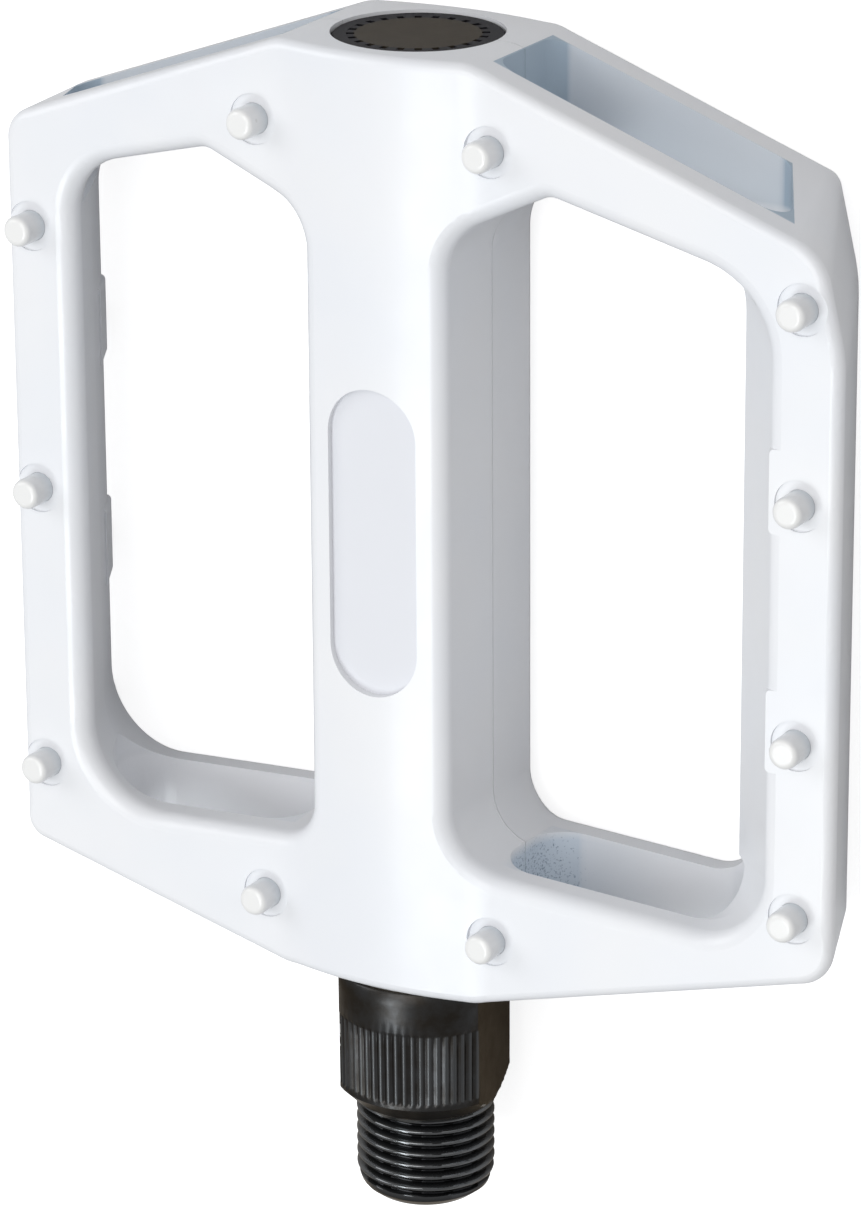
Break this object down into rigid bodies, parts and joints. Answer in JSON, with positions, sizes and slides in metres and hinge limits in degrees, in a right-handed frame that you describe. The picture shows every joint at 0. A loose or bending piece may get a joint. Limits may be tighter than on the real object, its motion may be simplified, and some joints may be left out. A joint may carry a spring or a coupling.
{
  "type": "flat bicycle pedal",
  "caption": "Flat platform pedal for a left crank: a slotted cage with traction pins that spins on a threaded spindle with bush and bearing.",
  "frame": {"origin": "on the spindle's axis at the foot of its cone, where the crank's face stands", "axes": "+Y along the spindle from the crank to the end cap, +Z square to the upper tread face, +X across the platform"},
  "size_m": [0.0998, 0.1231, 0.0248],
  "materials": {
    "white_cage": "gloss white paint on cast aluminium",
    "white_pins": "gloss white paint",
    "black_steel": "black oxide, satin",
    "bright_steel": "zinc plated",
    "bearing_steel": "ground",
    "black_rubber": "matt",
    "bronze": "sintered",
    "white_nylon": "matt",
    "olive_cap": "satin dark olive grey"
  },
  "bodies": {
    "spindle_assembly": {"spindle": "black_steel", "thrust_washer": "bright_steel", "bearing_inner_ring": "bearing_steel", "clamp_washer": "bright_steel", "lock_nut": "bright_steel", "lock_nut_insert": "white_nylon"},
    "platform": {"cage_body": "white_cage", "upper_pins": "white_pins", "lower_pins": "white_pins", "inboard_seal": "black_rubber", "inboard_bushing": "bronze", "bearing_outer_ring": "bearing_steel", "bearing_shield_inboard": "black_rubber", "bearing_shield_outboard": "black_rubber", "bearing_circlip": "black_steel", "end_cap": "olive_cap", "end_cap_oring": "black_rubber"},
    "ball_set": {"bearing_balls": "bearing_steel", "bearing_retainer": "white_nylon"}
  },
  "joints": [
    {"name": "platform_spin", "type": "hinge", "parent": "spindle_assembly", "child": "platform", "pos_m": [0, 0, 0], "axis": [0, 1, 0], "continuous": true},
    {"name": "ball_set_spin", "type": "hinge", "parent": "spindle_assembly", "child": "ball_set", "pos_m": [0, 0.1019, 0], "axis": [0, 1, 0], "continuous": true}
  ],
  "couplings": [
    {"joint": "ball_set_spin", "follows": "platform_spin", "ratio": 0.5917}
  ]
}
